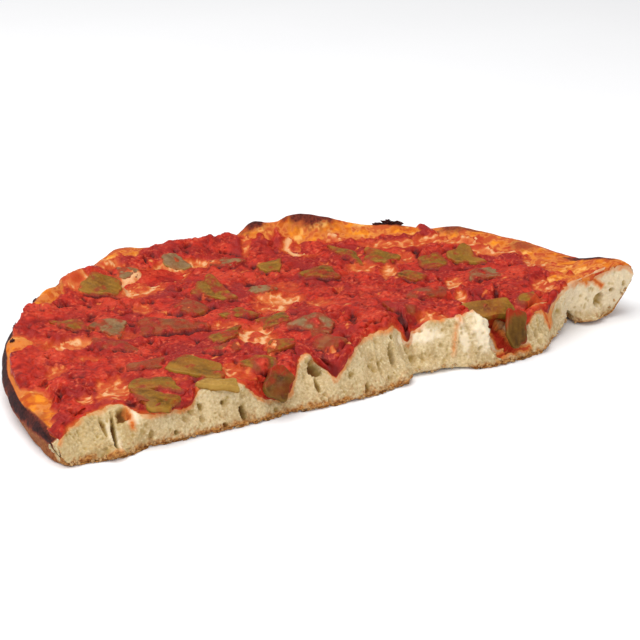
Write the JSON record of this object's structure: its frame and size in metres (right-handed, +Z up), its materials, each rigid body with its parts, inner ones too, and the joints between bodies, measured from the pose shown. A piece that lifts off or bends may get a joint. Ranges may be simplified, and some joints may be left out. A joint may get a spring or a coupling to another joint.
{
  "type": "half tray pizza",
  "caption": "Half of a round, thick tray-baked pizza, torn straight across: bread base with crumb showing at the tear, tomato sauce on top and pieces of green pepper in it.",
  "frame": {"origin": "middle of the whole box, on the ground under the bread", "axes": "+X along the tear, from the thin end to the thick end; +Y from the tear towards the round rim; +Z up"},
  "size_m": [0.3074, 0.1758, 0.0315],
  "materials": {
    "bread": "baked bread, dry and open crumb, matt",
    "tomato_sauce": "cooked tomato sauce, moist, satin",
    "green_pepper": "roasted green pepper, moist, glossy"
  },
  "bodies": {
    "root": {"bread": "bread", "tomato_sauce": "tomato_sauce", "pepper_01": "green_pepper", "pepper_02": "green_pepper", "pepper_03": "green_pepper", "pepper_04": "green_pepper", "pepper_05": "green_pepper", "pepper_06": "green_pepper", "pepper_07": "green_pepper", "pepper_08": "green_pepper", "pepper_09": "green_pepper", "pepper_10": "green_pepper", "pepper_11": "green_pepper", "pepper_12": "green_pepper", "pepper_13": "green_pepper", "pepper_14": "green_pepper", "pepper_15": "green_pepper", "pepper_16": "green_pepper", "pepper_17": "green_pepper", "pepper_18": "green_pepper", "pepper_19": "green_pepper", "pepper_20": "green_pepper", "pepper_21": "green_pepper", "pepper_22": "green_pepper", "pepper_23": "green_pepper", "pepper_24": "green_pepper", "pepper_25": "green_pepper", "pepper_26": "green_pepper", "pepper_27": "green_pepper", "pepper_28": "green_pepper", "pepper_29": "green_pepper", "pepper_30": "green_pepper", "pepper_31": "green_pepper", "pepper_32": "green_pepper", "pepper_33": "green_pepper", "pepper_34": "green_pepper", "pepper_35": "green_pepper", "pepper_36": "green_pepper", "pepper_hanging_1": "green_pepper", "pepper_hanging_2": "green_pepper"}
  },
  "joints": []
}
